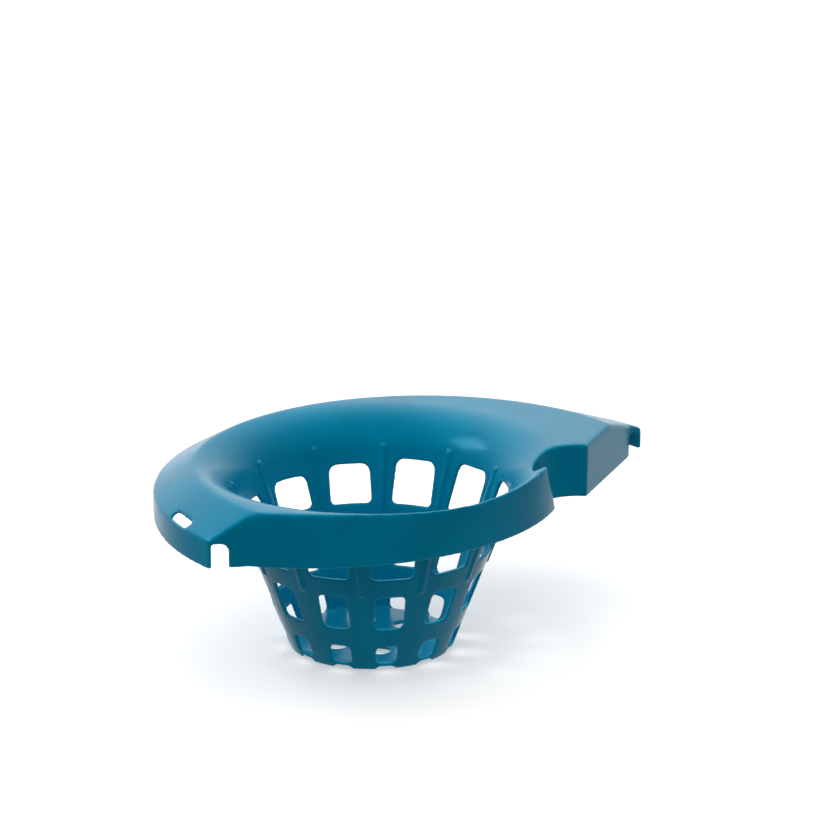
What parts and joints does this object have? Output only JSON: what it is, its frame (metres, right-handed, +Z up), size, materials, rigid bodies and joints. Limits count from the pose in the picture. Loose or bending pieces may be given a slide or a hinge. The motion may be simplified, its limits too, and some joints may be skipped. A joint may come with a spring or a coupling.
{
  "type": "mop bucket wringer",
  "caption": "Wringer insert for a round mop bucket: tapered strainer basket with rows of windows, flat top, sloping hook-on flange and half-round notch",
  "frame": {"origin": "the middle of the basket foot, on the floor it stands on, on the axis of the basket cone", "axes": "+Z up along the basket axis, +X along the chord between the two rim arches, towards the straight wall and away from the slope's left end, -Y out of the open side"},
  "size_m": [0.306, 0.2146, 0.105],
  "materials": {
    "plastic": "satin, moulded in one colour"
  },
  "bodies": {
    "root": {"basket_wall": "plastic", "basket_floor": "plastic", "mouth_flare": "plastic", "flat_top": "plastic", "corner_top": "plastic", "slope": "plastic", "skirt": "plastic", "front_wall": "plastic", "tongue": "plastic", "notch_wall": "plastic", "straight_wall": "plastic"}
  },
  "joints": []
}
